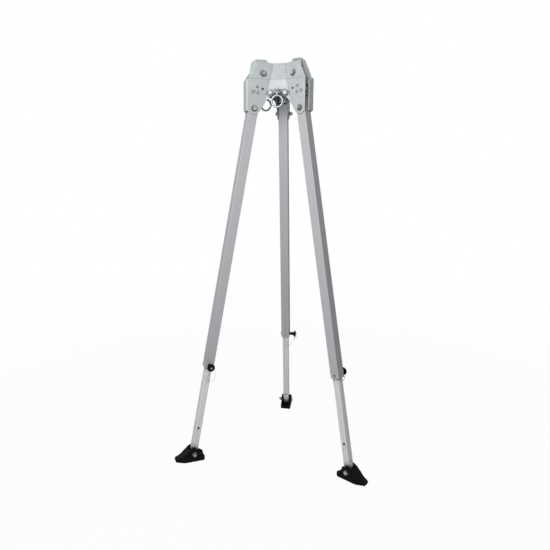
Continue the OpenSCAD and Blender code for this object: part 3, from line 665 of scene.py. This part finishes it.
class TRIPOD_OT_stage(Operator):
    """Stands the camera, the lights and the pale floor round the tripod"""

    bl_idname = "tripod.stage"
    bl_label = "Stage"

    def execute(self, context):
        scene = context.scene
        stage = scene.tripod_stage
        scene.view_settings.view_transform = "Standard"
        lens = bpy.data.cameras.new("camera")
        lens.lens = stage.lens
        lens.sensor_width = stage.film_width
        lens.shift_x, lens.shift_y = stage.shift
        camera = bpy.data.objects.new("camera", lens)
        camera.matrix_world = (
            Matrix.Translation(stage.camera_place)
            @ Matrix.Rotation(stage.heading - pi / 2, 4, "Z")
            @ Matrix.Rotation(stage.pitch + pi / 2, 4, "X")
            @ Matrix.Rotation(stage.roll, 4, "Z")
        )
        scene.collection.objects.link(camera)
        scene.camera = camera
        self.lamp(scene, "key_light", stage.key_place, stage.key_size, stage.key)
        self.lamp(scene, "back_light", stage.back_place, stage.back_size, stage.back)
        self.daylight(scene, stage.daylight)
        half = stage.floor_half
        corners = [(-half, -half, 0), (half, -half, 0), (half, half, 0), (-half, half, 0)]
        mesh = bpy.data.meshes.new("floor")
        mesh.from_pydata(corners, [], [(0, 1, 2, 3)])
        mesh.materials.append(pale_floor(scene.tripod_colours.floor, stage))
        floor = bpy.data.objects.new("floor", mesh)
        scene.collection.objects.link(floor)
        return {"FINISHED"}

    def lamp(self, scene, name, place, size, power):
        """A square soft light that faces the middle of the tripod."""
        data = bpy.data.lights.new(name, "AREA")
        data.energy = power
        data.size = size
        lamp = bpy.data.objects.new(name, data)
        lamp.location = place
        middle = sum((Vector(corner) for corner in cad_box), Vector()) / 2
        lamp.rotation_euler = (middle - lamp.location).to_track_quat("-Z", "Y").to_euler()
        scene.collection.objects.link(lamp)

    def daylight(self, scene, strength):
        """White where the camera or a reflection looks, an even weaker light for all else."""
        world = bpy.data.worlds.new("studio")
        world.use_nodes = True
        scene.world = world
        tree = world.node_tree
        tree.nodes.clear()
        level = add(tree, "ShaderNodeMapRange", values={"To Min": strength},
                    links={"Value": seen_directly(tree)})
        sky = add(tree, "ShaderNodeBackground", values={"Color": (1, 1, 1, 1)},
                  links={"Strength": level.outputs["Result"]})
        add(tree, "ShaderNodeOutputWorld", links={"Surface": sky.outputs[0]})


# Lanyard routes from the split ring on the knob to the screw on the leg's inner face, in millimetres
# outwards, to the knob's side and up from the lock pin
RING_LOW = (5, 58.05, -34.0882)
LEFT_ROUTE = (
    RING_LOW, (8, 55, -46), (6, 48, -59), (0, 40, -72), (-9, 32, -83), (-22, 23, -91), (-36, 13, -92),
    (-45, 6, -84), (-47, 3, -67), (-44, 1, -48), (-38, 0, -29), (-31, 0, -10), (-27.5, 0, 8.6),
)
RIGHT_ROUTE = (
    RING_LOW, (0, 55.5, -43), (-5, 50.5, -53), (-10, 44.5, -66), (-14.5, 38, -80), (-19.5, 30.5, -93),
    (-25, 22, -100), (-30.5, 14.5, -97), (-33, 10, -84), (-33.5, 7, -64), (-32.5, 4, -40), (-30.5, 2, -15),
    (-27.5, 0, 8.6),
)
REAR_ROUTE = (
    RING_LOW, (9, 54, -43), (6, 46, -53), (-5, 36, -63), (-19, 27, -71), (-35, 20, -74), (-50, 15, -69),
    (-60, 13, -55), (-62, 13, -38), (-57, 13, -20), (-46, 9, -5), (-35, 1, 4), (-27.5, -5.3, 10.4),
)
ROUTES = {"left": LEFT_ROUTE, "right": RIGHT_ROUTE, "rear": REAR_ROUTE}
# Middle of the split ring's lowest stretch of bar, and of the screw that holds the other end
RING_BAR = (5, 58.05, -32.3)
SCREW = (-26.6, 0, 15)
# Points near the leg and near the knob on a lanyard's way, which lanyard() works out but does not use
LEG_SIDE = (0, 10, 0)
KNOB_SIDE = (0, 44, 0)
# Points along a lanyard and round it, and along an eye and round it
WIRE_POINTS = 220
WIRE_SIDES = 24
EYE_POINTS = 60
EYE_SIDES = 12


class TRIPOD_OT_lanyards(Operator):
    """Makes the wire lanyards with their pressed sleeves and eyes"""

    bl_idname = "tripod.lanyards"
    bl_label = "Lanyards"

    def execute(self, context):
        sizes = context.scene.tripod_sizes
        colours = context.scene.tripod_colours
        self.wire = stainless_wire(colours.wire)
        self.sleeve = tinned_copper(colours.sleeve)
        for name in LEGS:
            self.lanyard(Leg(name), sizes)
        return {"FINISHED"}

    def lanyard(self, leg, sizes):
        length = getattr(sizes, leg.name + "_length")
        points = [leg.at_pin(p, sizes.pin_drop) for p in ROUTES[leg.name]]
        line = smooth_line(points, WIRE_POINTS)
        strands = 6

        def rope(_k, turn, run):
            # The strands stand out round the wire and turn along it
            crown = abs(cos(strands / 2 * (turn - 2 * pi * run / sizes.wire_lay)))
            return sizes.wire_d / 2 - sizes.strand_groove * (1 - crown)

        wire = mesh_piece("lanyard_wire_" + leg.name, *swept(line, WIRE_SIDES, rope),
                          self.wire, "lanyard_wire")
        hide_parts("lanyard_" + leg.name)
        # The ring's eye and sleeve go with the pin, the screw's with the leg; the wire goes with neither
        leg.at_pin(LEG_SIDE, sizes.pin_drop)
        leg.at_pin(KNOB_SIDE, sizes.pin_drop)
        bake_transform(wire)
        ring_end = self.ring_end(leg, line, sizes)
        screw_end = self.screw_end(leg, line[::-1], sizes)

    def ring_end(self, leg, line, sizes):
        """Eye through the split ring and its sleeve, which ride with the pin."""
        x, y, z = RING_BAR
        eye_r = sizes.ring_eye / MM
        turns = [radians(degrees) for degrees in range(-130, 131, 20)]
        bend = [leg.at_pin((x + eye_r * sin(a), y, z + eye_r * cos(a)), sizes.pin_drop) for a in turns]
        neck = set_out(line, 6 * MM)
        sleeve_from = 4 * MM
        return self.end_pieces(leg, "ring", [neck, *bend, neck], line, sleeve_from, sizes, "pin_")

    def screw_end(self, leg, line, sizes):
        """Eye round the screw and its sleeve, which ride with the leg."""
        x, y, z = SCREW
        last = ROUTES[leg.name][-1]
        low = atan2(last[1] - y, last[2] - z)
        eye_r = sizes.screw_eye / MM
        turns = [low + radians(degrees) for degrees in range(20, 341, 16)]
        bend = [leg.at_pin((x, y + eye_r * sin(a), z + eye_r * cos(a)), sizes.pin_drop) for a in turns]
        neck = set_out(line, 4 * MM)
        sleeve_from = 2 * MM
        return self.end_pieces(leg, "screw", [neck, *bend, neck], line, sleeve_from, sizes, "leg_")

    def end_pieces(self, leg, end, bend, line, sleeve_from, sizes, body):
        """A lanyard's eye, bent along the points, and the pressed sleeve that closes it."""
        # The eye is drawn without strands, at a radius between their crowns and their grooves
        plain_share = 0.95

        def plain(_k, _turn, _run):
            return sizes.wire_d / 2 * plain_share

        loop = smooth_line(bend, EYE_POINTS)
        eye = mesh_piece(f"lanyard_eye_{end}_{leg.name}", *swept(loop, EYE_SIDES, plain),
                         self.wire, "lanyard_wire")
        run = 0.0
        stretch = []
        for a, b in zip(line, line[1:]):
            run += (b - a).length
            if sleeve_from <= run <= sleeve_from + sizes.sleeve_length:
                stretch.append(b)
        last = len(stretch) - 1
        bands = 3

        def pressed(k, turn, _run):
            # An oval with pressed bands and rounded ends
            share = k / last
            band = 1 - sizes.sleeve_press * (1 - abs(cos(bands * pi * share)))
            inwards = min(1.0, min(share, 1 - share) / sizes.sleeve_turn)
            close = sizes.sleeve_mouth + (1 - sizes.sleeve_mouth) * inwards
            oval = sizes.sleeve_flat + (1 - sizes.sleeve_flat) * abs(cos(turn))
            return sizes.sleeve_w / 2 * band * close * oval

        sleeve = mesh_piece(f"lanyard_sleeve_{end}_{leg.name}", *swept(stretch, WIRE_SIDES, pressed),
                            self.sleeve, "lanyard_wire")
        for piece in (eye, sleeve):
            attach(piece, body + leg.name)
        return [eye, sleeve]


class TRIPOD_OT_head_plates(Operator):
    """Finishes the three pressed head plates"""

    bl_idname = "tripod.head_plates"
    bl_label = "Head plates"

    def execute(self, context):
        sizes = context.scene.tripod_sizes
        crease_z = Leg("left").pivot.z + sizes.crease_up
        sheet = galvanised_sheet(context.scene.tripod_colours.plate, crease_z, sizes.crease_line)
        for name in PLATES:
            soften("head_plate_" + name, sheet, sizes.plate_edge, 3)
        return {"FINISHED"}


class TRIPOD_OT_head_fasteners(Operator):
    """Finishes the head's bolts, nuts, washers, spacers, rivets and stop blocks"""

    bl_idname = "tripod.head_fasteners"
    bl_label = "Head fasteners"

    def execute(self, context):
        sizes = context.scene.tripod_sizes
        colours = context.scene.tripod_colours
        zinc = bright_zinc_plate(colours.zinc)
        for name in ("head_bolts", "head_nuts", "head_washers", "head_spacers", "pivot_bolts", "pivot_nuts",
                     "stop_rivets", "bracket_bolts"):
            soften(name, zinc, sizes.bolt_edge)
        soften("leg_stops", machined_steel(colours.stop), sizes.bolt_edge)
        for name in LEGS:
            leg = Leg(name)
            thread("pivot_thread_" + name, leg.pivot - sizes.pivot_nut_face * leg.across,
                   leg.pivot - sizes.pivot_bolt_end * leg.across, sizes, "head")
        return {"FINISHED"}


class TRIPOD_OT_anchor_eyes(Operator):
    """Finishes the anchor brackets, the eyes and their nuts"""

    bl_idname = "tripod.anchor_eyes"
    bl_label = "Anchor eyes"

    def execute(self, context):
        sizes = context.scene.tripod_sizes
        colours = context.scene.tripod_colours
        bracket = zinc_coated_bracket(colours.bracket)
        forging = polished_forging(colours.eye)
        zinc = bpy.data.materials["bright_zinc_plate"]
        for name in PLATES:
            soften("anchor_bracket_" + name, bracket, sizes.plate_edge, 3)
            soften("anchor_eye_" + name, forging, sizes.eye_edge, 3)
            soften("eye_nut_" + name, zinc, sizes.bolt_edge)
        return {"FINISHED"}


class TRIPOD_OT_outer_legs(Operator):
    """Finishes the outer tubes with their bushes, guides, collars and screws"""

    bl_idname = "tripod.outer_legs"
    bl_label = "Outer legs"

    def execute(self, context):
        sizes = context.scene.tripod_sizes
        colours = context.scene.tripod_colours
        nylon = moulded_nylon(colours.nylon)
        zinc = bpy.data.materials["bright_zinc_plate"]
        for name in LEGS:
            soften("outer_tube_" + name, anodised_aluminium(colours.outer, Leg(name)), sizes.tube_edge)
            soften("leg_guide_" + name, nylon, sizes.tube_edge)
            soften("pin_collar_" + name, nylon, sizes.tube_edge)
            soften("pivot_bush_" + name, zinc, sizes.tube_edge)
            soften("leg_screws_" + name, zinc, sizes.bolt_edge)
        return {"FINISHED"}


class TRIPOD_OT_lock_pins(Operator):
    """Finishes the lock pins, their knobs and the split rings"""

    bl_idname = "tripod.lock_pins"
    bl_label = "Lock pins"

    def execute(self, context):
        sizes = context.scene.tripod_sizes
        nylon = bpy.data.materials["moulded_nylon"]
        zinc = bpy.data.materials["bright_zinc_plate"]
        for name in LEGS:
            soften("lock_pin_" + name, zinc, sizes.bolt_edge)
            soften("lock_knob_" + name, nylon, sizes.knob_edge, 3)
            soften("lanyard_ring_" + name, zinc, sizes.tube_edge)
        return {"FINISHED"}


class TRIPOD_OT_inner_legs(Operator):
    """Finishes the inner tubes and the sliders on their tops"""

    bl_idname = "tripod.inner_legs"
    bl_label = "Inner legs"

    def execute(self, context):
        sizes = context.scene.tripod_sizes
        colours = context.scene.tripod_colours
        nylon = bpy.data.materials["moulded_nylon"]
        for name in LEGS:
            soften("inner_tube_" + name, drawn_aluminium(colours.inner, Leg(name)), sizes.tube_edge)
            soften("leg_slider_" + name, nylon, sizes.tube_edge)
        return {"FINISHED"}


class TRIPOD_OT_feet(Operator):
    """Finishes the rubber shoes and their bolts"""

    bl_idname = "tripod.feet"
    bl_label = "Feet"

    def execute(self, context):
        sizes = context.scene.tripod_sizes
        rubber = moulded_rubber(context.scene.tripod_colours.rubber)
        zinc = bpy.data.materials["bright_zinc_plate"]
        for name in LEGS:
            self.round_shoe("foot_" + name, sizes)
            dress("foot_" + name, rubber)
            soften("foot_bolt_" + name, zinc, sizes.bolt_edge)
            leg = Leg(name)
            thread("foot_thread_" + name, leg.foot + sizes.foot_nut_face * leg.across,
                   leg.foot + sizes.foot_bolt_end * leg.across, sizes, "foot_" + name)
        return {"FINISHED"}

    def round_shoe(self, name, sizes):
        """Rounds a moulded shoe's edges all over, as a rubber mould does."""
        shoe = frame["nodes"][name]
        weld = shoe.modifiers.new("Weld", "WELD")
        weld.merge_threshold = SAME_POINT
        skin = shoe.modifiers.new("Skin", "REMESH")
        skin.mode = "VOXEL"
        skin.voxel_size = sizes.shoe_grain
        skin.use_smooth_shade = True
        soft = shoe.modifiers.new("Soft", "SMOOTH")
        soft.factor = 0.5
        soft.iterations = sizes.shoe_rounding


OPERATORS = (
    TRIPOD_OT_stage, TRIPOD_OT_lanyards, TRIPOD_OT_head_plates, TRIPOD_OT_head_fasteners,
    TRIPOD_OT_anchor_eyes, TRIPOD_OT_outer_legs, TRIPOD_OT_lock_pins, TRIPOD_OT_inner_legs, TRIPOD_OT_feet,
)
GROUPS = {"tripod_sizes": TripodSizes, "tripod_colours": TripodColours, "tripod_stage": TripodStage}


class VIEW3D_PT_tripod(Panel):
    """Lists the tripod's operators and their settings"""

    bl_label = "Rescue tripod"
    bl_space_type = "VIEW_3D"
    bl_region_type = "UI"
    bl_category = "Tripod"

    def draw(self, context):
        for operator in OPERATORS:
            self.layout.operator(operator.bl_idname)
        for name, group in GROUPS.items():
            for field in group.__annotations__:
                self.layout.prop(getattr(context.scene, name), field)


def register():
    for cls in (*GROUPS.values(), *OPERATORS, VIEW3D_PT_tripod):
        bpy.utils.register_class(cls)
    for name, group in GROUPS.items():
        setattr(bpy.types.Scene, name, PointerProperty(type=group))


def unregister():
    for name in GROUPS:
        delattr(bpy.types.Scene, name)
    for cls in (VIEW3D_PT_tripod, *reversed(OPERATORS), *GROUPS.values()):
        bpy.utils.unregister_class(cls)


def main():
    register()
    bpy.ops.tripod.stage()
    bpy.ops.tripod.lanyards()
    bpy.ops.tripod.head_plates()
    bpy.ops.tripod.head_fasteners()
    bpy.ops.tripod.anchor_eyes()
    bpy.ops.tripod.outer_legs()
    bpy.ops.tripod.lock_pins()
    bpy.ops.tripod.inner_legs()
    bpy.ops.tripod.feet()


if __name__ == "__main__":
    main()
